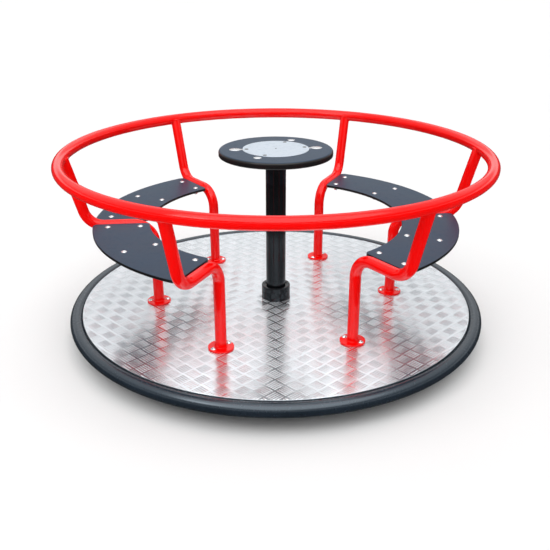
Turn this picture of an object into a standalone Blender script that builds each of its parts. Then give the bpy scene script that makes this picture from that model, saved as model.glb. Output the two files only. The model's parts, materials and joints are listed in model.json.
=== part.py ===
"""A playground roundabout: a deck with four seats and a hand rail turns round a fixed column with a table."""

import math

import bmesh
import bpy
from mathutils import Matrix, Vector

# Driving dimensions, in metres. The origin is on the ground, under the middle of the column.
FIT_GAP = 0.0003
GROUND_CLEARANCE = 0.060

# The round tube that forms the rim, and the flat ledge inside it that carries the edge of the deck.
RIM_RADIUS = 0.7733
RIM_TUBE_RADIUS = 0.02415
RIM_ABOVE_DECK = 0.004
LEDGE_INNER_RADIUS = 0.700
LEDGE_THICKNESS = 0.005

DECK_RADIUS = 0.750
DECK_THICKNESS = 0.005

# Six tubes, bent outwards under the seats and up to the hand rail behind them.
POST_NAMES = ("right", "back_right", "back_left", "left", "front_left", "front_right")
POST_SPACING = math.radians(60)
POST_TUBE_RADIUS = 0.020
POST_FOOT_RADIUS = 0.4615
POST_RUN_HEIGHT = 0.3225
POST_BEND_RADIUS = 0.075
POST_LEAN = math.radians(15)
POST_AIM_INSIDE = 0.006
POST_END_BELOW = 0.003
FLANGE_RADIUS = 0.0455
FLANGE_THICKNESS = 0.006
FLANGE_CHAMFER = 0.001

HANDRAIL_RADIUS = 0.775
HANDRAIL_TUBE_RADIUS = 0.0212
HANDRAIL_HEIGHT = 0.579

# Four curved boards, each between two neighbouring posts, on two curved flat bars.
SEATS = {"right_back": 0, "left_back": 2, "left_front": 3, "right_front": 5}
SEAT_INNER_RADIUS = 0.475
SEAT_OUTER_RADIUS = 0.682
SEAT_THICKNESS = 0.010
SEAT_ABOVE_RUN = 0.002
SEAT_TO_POST_MIDDLE = 0.0242
SEAT_CORNER_RADIUS = 0.018
BAR_RADII = {"inner": 0.510, "outer": 0.627}
BAR_WIDTH = 0.030
BAR_THICKNESS = 0.006

ARM_WIDTH = 0.050
ARM_CURVE_GAP = 0.0015

# The fixed column, and the housing that turns on it and shows above the deck as a collar.
COLUMN_RADIUS = 0.03805
HOUSING_RADIUS = 0.056
HOUSING_BORE_RADIUS = 0.044
HOUSING_ABOVE_DECK = 0.054
HOUSING_FLOOR_HEIGHT = 0.030
BEARING_BORE_RADIUS = 0.0383
BEARING_HEIGHT = 0.016
BEARING_RECESS = 0.006

TABLE_HEIGHT = 0.5965
TABLE_RADIUS = 0.2108
TABLE_THICKNESS = 0.024
TABLE_TOP_ROUND = 0.009
TABLE_UNDER_ROUND = 0.005
TABLE_RECESS_DEPTH = 0.002
TABLE_PLATE_RADIUS = 0.1225
TABLE_PLATE_PROUD = 0.001
TABLE_PLATE_CHAMFER = 0.0005
TABLE_FLANGE_RADIUS = 0.172
TABLE_FLANGE_THICKNESS = 0.006

BASE_RADIUS = 0.250
BASE_THICKNESS = 0.010
BASE_HOLE_RADIUS = 0.009
BASE_HOLE_CIRCLE = 0.205
BASE_HOLES = 4
FOOT_RING_RADIUS = 0.075
FOOT_RING_GAP = 0.0005

EDGE_CHAMFER = 0.002

# How finely round shapes are divided.
LARGE_RING_STEPS = 72
DECK_STEPS = 72
TABLE_STEPS = 48
HUB_STEPS = 36
TUBE_SIDES = 12
RIM_SIDES = 16
POST_BEND_STEPS = 6
FLANGE_STEPS = 24
SEAT_ARC_STEPS = 12
SEAT_CORNER_STEPS = 4
ROUND_EDGE_STEPS = 4
MERGE_DISTANCE = 0.00001
SHARP_ABOVE = math.radians(35)

# Heights above the ground that follow from the sizes.
RIM_HEIGHT = GROUND_CLEARANCE + RIM_TUBE_RADIUS
DECK_TOP = RIM_HEIGHT + RIM_TUBE_RADIUS - RIM_ABOVE_DECK
DECK_UNDERSIDE = DECK_TOP - DECK_THICKNESS - FIT_GAP
TABLE_TOP = DECK_TOP + TABLE_HEIGHT
TABLE_UNDERSIDE = TABLE_TOP - TABLE_THICKNESS


def clear_scene():
    for thing in list(bpy.data.objects):
        bpy.data.objects.remove(thing, do_unlink=True)


def finish(name, colour, roughness, metallic):
    """A plain painted, moulded or bare metal surface."""
    material = bpy.data.materials.new(name)
    material.use_nodes = True
    surface = material.node_tree.nodes["Principled BSDF"]
    surface.inputs["Base Color"].default_value = (*colour, 1)
    surface.inputs["Roughness"].default_value = roughness
    surface.inputs["Metallic"].default_value = metallic
    return material


def axis_empty(name):
    """A point on the turning axis that carries the pieces of one body."""
    empty = bpy.data.objects.new(name, None)
    bpy.context.scene.collection.objects.link(empty)
    return empty


def mesh_from(shape, name):
    bmesh.ops.recalc_face_normals(shape, faces=shape.faces)
    mesh = bpy.data.meshes.new(name)
    shape.to_mesh(mesh)
    shape.free()
    return mesh


def place(name, mesh, material, parent, turn=0.0):
    """One named piece on its body, turned about the upright axis."""
    mesh.materials.append(material)
    mesh.shade_smooth()
    mesh.set_sharp_from_angle(angle=SHARP_ABOVE)
    piece = bpy.data.objects.new(name, mesh)
    bpy.context.scene.collection.objects.link(piece)
    piece.parent = parent
    piece.rotation_euler.z = turn
    return piece


def as_cutter(cutter):
    cutter.hide_render = True
    cutter.display_type = "WIRE"
    return cutter


def cut(piece, cutter):
    modifier = piece.modifiers.new("cut_" + cutter.name, "BOOLEAN")
    modifier.operation = "DIFFERENCE"
    modifier.object = cutter


def arc(centre, radius, start, sweep, steps):
    """Points on an arc in the plane of radius and height."""
    return [
        (
            centre[0] + radius * math.cos(start + sweep * step / steps),
            centre[1] + radius * math.sin(start + sweep * step / steps),
        )
        for step in range(steps + 1)
    ]


def turned(name, profile, steps, closed):
    """A profile of (radius, height) points spun round the upright axis."""
    shape = bmesh.new()
    points = [shape.verts.new((radius, 0, height)) for radius, height in profile]
    following = points[1:] + points[:1] if closed else points[1:]
    edges = [shape.edges.new(pair) for pair in zip(points, following)]
    bmesh.ops.spin(
        shape, geom=points + edges, cent=(0, 0, 0), axis=(0, 0, 1), angle=math.tau, steps=steps
    )
    bmesh.ops.remove_doubles(shape, verts=shape.verts, dist=MERGE_DISTANCE)
    return mesh_from(shape, name)


def turned_ring(name, inner, outer, low, high, steps, chamfer=0.0):
    """A turned ring, with its outer edges broken where a chamfer is given."""
    profile = [(inner, high), (outer - chamfer, high)]
    if chamfer:
        profile.append((outer, high - chamfer))
        profile.append((outer, low + chamfer))
    profile.append((outer - chamfer, low))
    profile.append((inner, low))
    return turned(name, profile, steps, closed=True)


def turned_disc(name, radius, low, high, steps, chamfer):
    """A turned solid disc with broken edges."""
    profile = [
        (0, high),
        (radius - chamfer, high),
        (radius, high - chamfer),
        (radius, low + chamfer),
        (radius - chamfer, low),
        (0, low),
    ]
    return turned(name, profile, steps, closed=False)


def rolled_tube(name, radius, tube_radius, height, sides):
    """A tube rolled into a full ring."""
    profile = arc((radius, height), tube_radius, 0, math.tau, sides)[:-1]
    return turned(name, profile, LARGE_RING_STEPS, closed=True)


def ring_of(geometry, kind):
    return [element for element in geometry if isinstance(element, kind)]


def bent_tube(name, start, moves):
    """A round tube that leaves start upwards, in the plane of X and Z.

    A move is a length to run straight, or an angle to bend by: outwards where it is positive.
    """
    shape = bmesh.new()
    position = Vector(start)
    heading = Vector((0, 0, 1))
    made = bmesh.ops.create_circle(
        shape,
        cap_ends=True,
        radius=POST_TUBE_RADIUS,
        segments=TUBE_SIDES,
        matrix=Matrix.Translation(position),
    )
    points = made["verts"]
    edges = list({edge for point in points for edge in point.link_edges})
    for kind, amount in moves:
        if kind == "straight":
            made = bmesh.ops.extrude_edge_only(shape, edges=edges)["geom"]
            points = ring_of(made, bmesh.types.BMVert)
            bmesh.ops.translate(shape, verts=points, vec=heading * amount)
            position += heading * amount
        else:
            side = math.copysign(1, amount)
            outwards = Vector((heading.z, 0, -heading.x))
            centre = position + outwards * side * POST_BEND_RADIUS
            made = bmesh.ops.spin(
                shape,
                geom=points + edges,
                cent=centre,
                axis=(0, 1, 0),
                angle=amount,
                steps=POST_BEND_STEPS,
            )["geom_last"]
            points = ring_of(made, bmesh.types.BMVert)
            swing = Matrix.Rotation(amount, 3, "Y")
            position = centre + swing @ (position - centre)
            heading = swing @ heading
        edges = ring_of(made, bmesh.types.BMEdge)
    bmesh.ops.holes_fill(shape, edges=edges)
    return mesh_from(shape, name)


def curved_bar(name, inner, outer, low, thickness, end_offset, corner_radius=0.0):
    """A flat board that follows the deck's curve between two posts, its middle on +X."""

    def curve(radius, direction):
        reach = POST_SPACING / 2 - math.asin(end_offset / radius)
        return arc((0, 0), radius, -reach * direction, 2 * reach * direction, SEAT_ARC_STEPS)

    outline = curve(outer, 1) + curve(inner, -1)
    shape = bmesh.new()
    face = shape.faces.new([shape.verts.new((x, y, low)) for x, y in outline])
    corners = [face.verts[index] for index in (0, SEAT_ARC_STEPS, SEAT_ARC_STEPS + 1, -1)]
    places = {corner.co.to_2d().freeze() for corner in corners}
    made = bmesh.ops.extrude_face_region(shape, geom=[face])["geom"]
    points = ring_of(made, bmesh.types.BMVert)
    bmesh.ops.translate(shape, verts=points, vec=(0, 0, thickness))
    if corner_radius:
        upright = [
            edge
            for edge in shape.edges
            if all(point.co.to_2d().freeze() in places for point in edge.verts)
            and edge.verts[0].co.to_2d() == edge.verts[1].co.to_2d()
        ]
        bmesh.ops.bevel(
            shape,
            geom=upright,
            offset=corner_radius,
            segments=SEAT_CORNER_STEPS,
            profile=0.5,
            affect="EDGES",
        )
    return mesh_from(shape, name)


def add_rim(paint, body):
    """A rolled tube, and a flat ledge welded to its inner side under the edge of the deck."""
    mesh = rolled_tube("rim", RIM_RADIUS, RIM_TUBE_RADIUS, RIM_HEIGHT, RIM_SIDES)
    place("rim", mesh, paint, body)
    top = DECK_UNDERSIDE
    bottom = top - LEDGE_THICKNESS
    tube_face = RIM_RADIUS - math.sqrt(RIM_TUBE_RADIUS**2 - (bottom - RIM_HEIGHT) ** 2)
    ledge = turned_ring(
        "deck_ledge", LEDGE_INNER_RADIUS, tube_face - FIT_GAP, bottom, top, LARGE_RING_STEPS
    )
    place("deck_ledge", ledge, paint, body)


def add_deck_arms(steel, body):
    """Six box-section arms from the housing to the rim, stepped down under the ledge."""
    inner = HOUSING_RADIUS + FIT_GAP
    outer = RIM_RADIUS - RIM_TUBE_RADIUS - ARM_CURVE_GAP
    step = LEDGE_INNER_RADIUS - ARM_CURVE_GAP
    under_ledge = DECK_UNDERSIDE - LEDGE_THICKNESS - FIT_GAP
    side = [
        (inner, GROUND_CLEARANCE),
        (inner, DECK_UNDERSIDE),
        (step, DECK_UNDERSIDE),
        (step, under_ledge),
        (outer, under_ledge),
        (outer, GROUND_CLEARANCE),
    ]
    for number, name in enumerate(POST_NAMES):
        shape = bmesh.new()
        face = shape.faces.new([shape.verts.new((x, -ARM_WIDTH / 2, z)) for x, z in side])
        made = bmesh.ops.extrude_face_region(shape, geom=[face])["geom"]
        points = ring_of(made, bmesh.types.BMVert)
        bmesh.ops.translate(shape, verts=points, vec=(0, ARM_WIDTH, 0))
        arm = "deck_arm_" + name
        place(arm, mesh_from(shape, arm), steel, body, number * POST_SPACING)


def add_deck_plate(aluminium, body):
    """The round tread plate, with a hole for the housing."""
    hole = HOUSING_RADIUS + FIT_GAP
    bottom = DECK_TOP - DECK_THICKNESS
    mesh = turned_ring("deck_plate", hole, DECK_RADIUS, bottom, DECK_TOP, DECK_STEPS)
    place("deck_plate", mesh, aluminium, body)


def add_housing(paint, bronze, body):
    """The bearing tube in the middle of the deck, and the two plain bearings inside it."""
    top = DECK_TOP + HOUSING_ABOVE_DECK
    profile = [
        (HOUSING_BORE_RADIUS, top),
        (HOUSING_RADIUS - EDGE_CHAMFER, top),
        (HOUSING_RADIUS, top - EDGE_CHAMFER),
        (HOUSING_RADIUS, HOUSING_FLOOR_HEIGHT),
        (HOUSING_BORE_RADIUS, HOUSING_FLOOR_HEIGHT),
    ]
    place("bearing_housing", turned("bearing_housing", profile, HUB_STEPS, closed=True), paint, body)
    floors = {
        "bearing_lower": HOUSING_FLOOR_HEIGHT + BEARING_RECESS,
        "bearing_upper": top - BEARING_RECESS - BEARING_HEIGHT,
    }
    for name, floor in floors.items():
        outer = HOUSING_BORE_RADIUS - FIT_GAP
        mesh = turned_ring(name, BEARING_BORE_RADIUS, outer, floor, floor + BEARING_HEIGHT, HUB_STEPS)
        place(name, mesh, bronze, body)


def handrail_ring(name, tube_radius):
    height = DECK_TOP + HANDRAIL_HEIGHT
    return rolled_tube(name, HANDRAIL_RADIUS, tube_radius, height, TUBE_SIDES)


def add_handrail(paint, body):
    place("handrail", handrail_ring("handrail", HANDRAIL_TUBE_RADIUS), paint, body)


def post_moves():
    """The straight and bent lengths of a post, from its foot flange to the hand rail."""
    foot_top = FLANGE_THICKNESS + 2 * FIT_GAP
    leg = POST_RUN_HEIGHT - POST_BEND_RADIUS - foot_top
    rise = HANDRAIL_HEIGHT - POST_RUN_HEIGHT
    corner = HANDRAIL_RADIUS - POST_AIM_INSIDE - rise * math.tan(POST_LEAN)
    second_bend = math.pi / 2 - POST_LEAN
    trim = POST_BEND_RADIUS * math.tan(second_bend / 2)
    run = corner - POST_FOOT_RADIUS - POST_BEND_RADIUS - trim
    backrest = (rise - POST_END_BELOW) / math.cos(POST_LEAN) - trim
    return [
        ("straight", leg),
        ("bend", math.pi / 2),
        ("straight", run),
        ("bend", -second_bend),
        ("straight", backrest),
    ]


def add_posts(paint, body):
    """Each post is welded to its round foot flange and to the inner side of the hand rail."""
    cutter_mesh = handrail_ring("handrail_cutter", HANDRAIL_TUBE_RADIUS + FIT_GAP)
    rail_cutter = as_cutter(place("handrail_cutter", cutter_mesh, paint, body))
    floor = DECK_TOP + FIT_GAP
    foot = (POST_FOOT_RADIUS, 0, floor + FLANGE_THICKNESS + FIT_GAP)
    for number, side in enumerate(POST_NAMES):
        turn = number * POST_SPACING
        name = "post_" + side
        post = place(name, bent_tube(name, foot, post_moves()), paint, body, turn)
        cut(post, rail_cutter)
        name = "foot_flange_" + side
        mesh = turned_disc(name, FLANGE_RADIUS, 0, FLANGE_THICKNESS, FLANGE_STEPS, FLANGE_CHAMFER)
        flange = place(name, mesh, paint, body)
        flange.location = (POST_FOOT_RADIUS * math.cos(turn), POST_FOOT_RADIUS * math.sin(turn), floor)


def add_seats(board, steel, body):
    """Four curved boards, and the inner and outer flat bar under each."""
    seat_floor = DECK_TOP + POST_RUN_HEIGHT + SEAT_ABOVE_RUN
    bar_floor = seat_floor - FIT_GAP - BAR_THICKNESS
    for name, first_post in SEATS.items():
        turn = (first_post + 0.5) * POST_SPACING
        seat = curved_bar(
            "seat_" + name,
            SEAT_INNER_RADIUS,
            SEAT_OUTER_RADIUS,
            seat_floor,
            SEAT_THICKNESS,
            SEAT_TO_POST_MIDDLE,
            SEAT_CORNER_RADIUS,
        )
        place("seat_" + name, seat, board, body, turn)
        for side, radius in BAR_RADII.items():
            bar_name = f"seat_bar_{side}_{name}"
            bar = curved_bar(
                bar_name,
                radius - BAR_WIDTH / 2,
                radius + BAR_WIDTH / 2,
                bar_floor,
                BAR_THICKNESS,
                POST_TUBE_RADIUS + FIT_GAP,
            )
            place(bar_name, bar, steel, body, turn)


def add_base(steel, body):
    """The round plate that stands on the ground, and the ring that the housing runs on."""
    base = place(
        "base_plate",
        turned_disc("base_plate", BASE_RADIUS, 0, BASE_THICKNESS, TABLE_STEPS, EDGE_CHAMFER),
        steel,
        body,
    )
    for number in range(BASE_HOLES):
        turn = (number + 0.5) * math.tau / BASE_HOLES
        name = f"anchor_hole_{number}"
        low, high = -BASE_THICKNESS, 2 * BASE_THICKNESS
        mesh = turned_disc(name, BASE_HOLE_RADIUS, low, high, FLANGE_STEPS, 0)
        hole = as_cutter(place(name, mesh, steel, body))
        hole.location = (BASE_HOLE_CIRCLE * math.cos(turn), BASE_HOLE_CIRCLE * math.sin(turn), 0)
        cut(base, hole)
    ring = turned_ring(
        "foot_ring",
        COLUMN_RADIUS + FIT_GAP,
        FOOT_RING_RADIUS,
        BASE_THICKNESS + FIT_GAP,
        HOUSING_FLOOR_HEIGHT - FOOT_RING_GAP,
        HUB_STEPS,
        EDGE_CHAMFER,
    )
    place("foot_ring", ring, steel, body)


def add_column_and_table(paint, board, aluminium, body):
    """The fixed column and the round table on it, with a plate let into its middle."""
    flange_floor = TABLE_UNDERSIDE - FIT_GAP - TABLE_FLANGE_THICKNESS
    column_top = flange_floor - FIT_GAP
    column_foot = BASE_THICKNESS + FIT_GAP
    column = turned_disc("column", COLUMN_RADIUS, column_foot, column_top, HUB_STEPS, 0)
    place("column", column, paint, body)
    flange = turned_disc(
        "table_flange",
        TABLE_FLANGE_RADIUS,
        flange_floor,
        flange_floor + TABLE_FLANGE_THICKNESS,
        HUB_STEPS,
        EDGE_CHAMFER,
    )
    place("table_flange", flange, paint, body)
    recess_floor = TABLE_TOP - TABLE_RECESS_DEPTH
    recess_radius = TABLE_PLATE_RADIUS + FIT_GAP
    top_round = (TABLE_RADIUS - TABLE_TOP_ROUND, TABLE_TOP - TABLE_TOP_ROUND)
    under_round = (TABLE_RADIUS - TABLE_UNDER_ROUND, TABLE_UNDERSIDE + TABLE_UNDER_ROUND)
    quarter = math.pi / 2
    profile = [(0, recess_floor), (recess_radius, recess_floor), (recess_radius, TABLE_TOP)]
    profile += arc(top_round, TABLE_TOP_ROUND, quarter, -quarter, ROUND_EDGE_STEPS)
    profile += arc(under_round, TABLE_UNDER_ROUND, 0, -quarter, ROUND_EDGE_STEPS)
    profile.append((0, TABLE_UNDERSIDE))
    place("table", turned("table", profile, TABLE_STEPS, closed=False), board, body)
    plate = turned_disc(
        "table_plate",
        TABLE_PLATE_RADIUS,
        recess_floor + FIT_GAP,
        TABLE_TOP + TABLE_PLATE_PROUD,
        TABLE_STEPS,
        TABLE_PLATE_CHAMFER,
    )
    place("table_plate", plate, aluminium, body)


def main():
    clear_scene()
    red_paint = finish("red_powder_coat", (0.80, 0.012, 0.010), 0.25, 0.0)
    dark_paint = finish("anthracite_powder_coat", (0.055, 0.065, 0.080), 0.35, 0.0)
    black_paint = finish("black_powder_coat", (0.012, 0.012, 0.013), 0.35, 0.0)
    dark_board = finish("anthracite_board", (0.095, 0.105, 0.125), 0.45, 0.0)
    tread_aluminium = finish("tread_aluminium", (0.75, 0.76, 0.78), 0.30, 1.0)
    plain_aluminium = finish("brushed_aluminium", (0.72, 0.75, 0.78), 0.35, 1.0)
    galvanised = finish("galvanised_steel", (0.45, 0.46, 0.47), 0.50, 1.0)
    bronze = finish("bearing_bronze", (0.42, 0.27, 0.12), 0.40, 1.0)

    base = axis_empty("base_axis")
    turntable = axis_empty("turntable_axis")
    add_base(galvanised, base)
    add_column_and_table(black_paint, dark_board, plain_aluminium, base)
    add_housing(black_paint, bronze, turntable)
    add_deck_arms(galvanised, turntable)
    add_deck_plate(tread_aluminium, turntable)
    add_rim(dark_paint, turntable)
    add_posts(red_paint, turntable)
    add_seats(dark_board, galvanised, turntable)
    add_handrail(red_paint, turntable)


main()
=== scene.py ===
"""The looks of a playground roundabout: its finishes, fixings, welds and tread pattern."""

import json
import math

import bpy
from mathutils import Matrix, Vector

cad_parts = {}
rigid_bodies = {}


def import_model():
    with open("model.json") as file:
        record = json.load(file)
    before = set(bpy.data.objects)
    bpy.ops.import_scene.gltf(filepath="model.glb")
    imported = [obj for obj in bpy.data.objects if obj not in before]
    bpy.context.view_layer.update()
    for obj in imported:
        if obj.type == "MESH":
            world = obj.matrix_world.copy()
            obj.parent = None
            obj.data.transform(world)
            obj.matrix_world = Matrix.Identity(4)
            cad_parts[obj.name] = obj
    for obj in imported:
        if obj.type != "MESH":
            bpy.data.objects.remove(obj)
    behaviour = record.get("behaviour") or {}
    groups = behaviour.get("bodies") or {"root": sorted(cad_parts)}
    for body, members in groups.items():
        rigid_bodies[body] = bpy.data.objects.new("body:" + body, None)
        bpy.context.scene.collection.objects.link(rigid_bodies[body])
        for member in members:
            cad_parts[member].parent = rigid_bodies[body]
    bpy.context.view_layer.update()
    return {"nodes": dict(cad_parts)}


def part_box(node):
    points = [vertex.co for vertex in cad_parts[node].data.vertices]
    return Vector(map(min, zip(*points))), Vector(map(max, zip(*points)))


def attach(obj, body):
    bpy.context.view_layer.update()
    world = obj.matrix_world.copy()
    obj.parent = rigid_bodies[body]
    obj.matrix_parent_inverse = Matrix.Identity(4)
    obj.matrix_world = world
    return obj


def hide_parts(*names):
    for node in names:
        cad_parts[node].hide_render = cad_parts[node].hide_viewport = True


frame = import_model()


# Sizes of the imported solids, in metres
def radius_of(node):
    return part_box(node)[1].x


def floor_of(node):
    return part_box(node)[0].z


def top_of(node):
    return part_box(node)[1].z


DECK_RADIUS = radius_of("deck_plate")
DECK_TOP = top_of("deck_plate")
DECK_UNDERSIDE = floor_of("deck_plate")

# The radius of a tube ends in TUBE. The ring that the tube forms has its own radius and height.
RIM_TUBE = (top_of("rim") - floor_of("rim")) / 2
RIM_HEIGHT = floor_of("rim") + RIM_TUBE
RIM_RADIUS = radius_of("rim") - RIM_TUBE

RAIL_TUBE = (top_of("handrail") - floor_of("handrail")) / 2
RAIL_HEIGHT = floor_of("handrail") + RAIL_TUBE
RAIL_RADIUS = radius_of("handrail") - RAIL_TUBE

FLANGE_LOW, FLANGE_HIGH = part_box("foot_flange_right")
FLANGE_RADIUS = FLANGE_HIGH.y
POST_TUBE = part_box("post_right")[1].y
POST_FOOT_RADIUS = (FLANGE_LOW.x + FLANGE_HIGH.x) / 2
POST_FOOT = floor_of("post_right")

HOUSING_RADIUS = radius_of("bearing_housing")
HOUSING_TOP = top_of("bearing_housing")
HOUSING_FLOOR = floor_of("bearing_housing")
COLUMN_RADIUS = radius_of("column")
COLUMN_FOOT = floor_of("column")
COLUMN_TOP = top_of("column")

TABLE_RADIUS = radius_of("table")
TABLE_TOP = top_of("table")
TABLE_UNDERSIDE = floor_of("table")
TABLE_PLATE_RADIUS = radius_of("table_plate")
TABLE_PLATE_TOP = top_of("table_plate")
TABLE_PLATE_UNDERSIDE = floor_of("table_plate")
TABLE_SUPPORT_RADIUS = radius_of("table_flange")
TABLE_SUPPORT_TOP = top_of("table_flange")
TABLE_SUPPORT_FLOOR = floor_of("table_flange")

SEAT_TOP = top_of("seat_right_back")
SEAT_FLOOR = floor_of("seat_right_back")
SEAT_BAR_FLOOR = floor_of("seat_bar_inner_right_back")

# The five-bar tread: square cells with flat lanes between them
TREAD_PITCH = 0.0470
TREAD_LANE = 0.0064
TREAD_BARS = 5
TREAD_BAR_WIDTH = 0.0057
TREAD_BAR_HEIGHT = 0.0009
TREAD_BAR_SIDES = 8
TREAD_BAR_SINK = 0.0002
TREAD_BAR_TAPER = (0.94, 0.34, 1)
TREAD_TURN = math.radians(39)

# Steps round a full circle, for large rings, for small ones and for the section of a tube
FINE = 192
SMOOTH = 96
TUBE_SIDES = 32

QUARTER = math.pi / 2
SIXTH = math.radians(60)

# Points closer than MERGE become one. A straight over LONG_STRAIGHT gets a point HOLD_BACK from
# each of its ends. A face is level where its normal rises over LEVEL, and a side under SIDE.
MERGE = 0.00001
LONG_STRAIGHT = 0.012
HOLD_BACK = 0.0005
LEVEL = 0.999
SIDE = 0.75


# Modelling steps
def clear_selection():
    if bpy.context.mode != "OBJECT":
        bpy.ops.object.mode_set(mode="OBJECT")
    bpy.ops.object.select_all(action="DESELECT")


def hold(piece):
    """Selects this piece alone."""
    clear_selection()
    piece.select_set(True)
    bpy.context.view_layer.objects.active = piece


def named(name):
    """Gives the active piece and its mesh a name."""
    piece = bpy.context.active_object
    piece.name = name
    piece.data.name = name
    return piece


def settle(piece):
    """Puts the piece's place, turn and size into its mesh."""
    hold(piece)
    bpy.ops.object.transform_apply(location=True, rotation=True, scale=True)
    return piece


def pick(piece, kind, test):
    """Opens the piece for editing with the points, edges or faces selected that pass the test."""
    hold(piece)
    bpy.ops.object.mode_set(mode="EDIT")
    bpy.ops.mesh.select_mode(type=kind)
    bpy.ops.mesh.select_all(action="DESELECT")
    bpy.ops.object.mode_set(mode="OBJECT")
    mesh = piece.data
    if kind == "VERT":
        for point in mesh.vertices:
            point.select = test(point.co)
    elif kind == "EDGE":
        for edge in mesh.edges:
            first, second = (mesh.vertices[end].co for end in edge.vertices)
            edge.select = test(first, second)
    else:
        for face in mesh.polygons:
            face.select = test(face.normal)
    bpy.ops.object.mode_set(mode="EDIT")


def close_up(piece):
    """Merges doubled points, turns all faces outwards and leaves edit mode."""
    bpy.ops.mesh.select_all(action="SELECT")
    bpy.ops.mesh.remove_doubles(threshold=MERGE)
    bpy.ops.mesh.select_all(action="SELECT")
    bpy.ops.mesh.normals_make_consistent(inside=False)
    bpy.ops.object.mode_set(mode="OBJECT")
    return piece


def round_shading(piece, degrees=35):
    """Shades the piece smooth, but for edges sharper than so many degrees."""
    hold(piece)
    bpy.ops.object.shade_smooth_by_angle(angle=math.radians(degrees))
    return piece


def around(radius, turn):
    """A place at this distance from the middle, in this direction."""
    return radius * math.cos(turn), radius * math.sin(turn)


def arc(centre, radius, start, sweep, steps):
    """Points of an arc about a centre."""
    points = []
    for step in range(steps + 1):
        across, up = around(radius, start + sweep * step / steps)
        points.append((centre[0] + across, centre[1] + up))
    return points


def drawn(name, outline):
    """An outline in the plane of X and Z, drawn point after point."""
    clear_selection()
    x, z = outline[0]
    bpy.ops.mesh.primitive_plane_add(size=0.001, location=(x, 0, z))
    line = named(name)
    settle(line)
    bpy.ops.object.mode_set(mode="EDIT")
    bpy.ops.mesh.select_mode(type="VERT")
    bpy.ops.mesh.select_all(action="SELECT")
    bpy.ops.mesh.merge(type="CENTER")
    for before, after in zip(outline, outline[1:]):
        step = (after[0] - before[0], 0, after[1] - before[1])
        bpy.ops.mesh.extrude_vertices_move(TRANSFORM_OT_translate={"value": step})
    return line


def held(outline):
    """Adds points close to both ends of each long straight, so that its face shades flat."""
    points = outline[:1]
    for before, after in zip(outline, outline[1:]):
        length = math.dist(before, after)
        if length > LONG_STRAIGHT:
            share = HOLD_BACK / length
            for along in (share, 1 - share):
                points.append(tuple(a + (b - a) * along for a, b in zip(before, after)))
        points.append(after)
    return points


def spun(name, outline, steps, centre=(0, 0)):
    """An outline turned full circle about an upright axis through centre."""
    piece = drawn(name, held(outline))
    bpy.ops.mesh.select_all(action="SELECT")
    bpy.ops.mesh.spin(steps=steps, angle=math.tau, center=(0, 0, 0), axis=(0, 0, 1))
    close_up(piece)
    piece.location = (*centre, 0)
    return round_shading(settle(piece))


def rolled(name, radius, tube_radius, height):
    """A tube rolled into a ring."""
    return spun(name, arc((radius, height), tube_radius, 0, math.tau, TUBE_SIDES), FINE)


def edge_ring(inner, outer, low, high, edge, steps=3):
    """The closed outline of a flat ring whose four edges are rounded."""
    near, far = inner + edge, outer - edge
    under, over = low + edge, high - edge
    outline = arc((far, over), edge, QUARTER, -QUARTER, steps)
    outline += arc((far, under), edge, 0, -QUARTER, steps)
    outline += arc((near, under), edge, -QUARTER, -QUARTER, steps)
    outline += arc((near, over), edge, math.pi, -QUARTER, steps)
    return outline + outline[:1]


def round_disc(radius, low, high, over_round, under_round, steps=3):
    """The outline of a solid disc with its upper and lower edges rounded."""
    outline = [(0, high)]
    outline += arc((radius - over_round, high - over_round), over_round, QUARTER, -QUARTER, steps)
    outline += arc((radius - under_round, low + under_round), under_round, 0, -QUARTER, steps)
    return outline + [(0, low)]


def copy_of(piece, name, turn, shift=(0, 0, 0)):
    """A copy with its own mesh, turned about the roundabout's axis and then shifted."""
    hold(piece)
    bpy.ops.object.duplicate(linked=False)
    copy = named(name)
    copy.rotation_euler.z = turn
    copy.location = shift
    return settle(copy)


def merged(name, parts):
    """Several parts made one piece."""
    hold(parts[0])
    for part in parts:
        part.select_set(True)
    bpy.ops.object.join()
    return named(name)


def carve(piece, tool, operation="DIFFERENCE", keep_tool=False):
    """Cuts a piece with a tool, which is then removed unless it is kept."""
    hold(piece)
    step = piece.modifiers.new("carve", "BOOLEAN")
    step.operation = operation
    step.solver = "EXACT"
    step.object = tool
    bpy.ops.object.modifier_apply(modifier=step.name)
    if not keep_tool:
        bpy.data.objects.remove(tool, do_unlink=True)
    return piece


def repeat(piece, count, step):
    """Puts copies of a piece in a row, a step apart."""
    hold(piece)
    row = piece.modifiers.new("repeat", "ARRAY")
    row.use_relative_offset = False
    row.use_constant_offset = True
    row.constant_offset_displace = step
    row.count = count
    bpy.ops.object.modifier_apply(modifier=row.name)


# Welds
WELD_RIPPLE = 0.10


def bead(name, points, thickness):
    """A closed weld bead along points, with the ripple of a weld made in short steps."""
    clear_selection()
    curve = bpy.data.curves.new(name, "CURVE")
    curve.dimensions = "3D"
    curve.bevel_depth = thickness
    curve.bevel_resolution = 2
    run = curve.splines.new("POLY")
    run.points.add(len(points) - 1)
    for number, (place, point) in enumerate(zip(points, run.points)):
        point.co = (*place, 1)
        point.radius = 1 + WELD_RIPPLE * (-1) ** number
    run.use_cyclic_u = True
    line = bpy.data.objects.new(name, curve)
    bpy.context.scene.collection.objects.link(line)
    hold(line)
    bpy.ops.object.convert(target="MESH")
    return round_shading(named(name), 80)


def level_circle(centre_x, radius, height, steps):
    """The points of a level circle, for a weld round an upright tube."""
    points = arc((centre_x, 0), radius, 0, math.tau, steps)[:-1]
    return [(x, y, height) for x, y in points]


# Fixings

# A head goes SINK deep into the surface under it, and HEAD_LIP is its upright edge.
SINK = 0.0001
HEAD_HEIGHT = 0.0048
HEAD_LIP = 0.0008
HEAD_STEPS = 6

# A washer's bore, radius and height
WASHER = (0.0042, 0.0105, 0.0015)
NUT_ACROSS = 0.0130
NUT_HEIGHT = 0.0065

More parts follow.
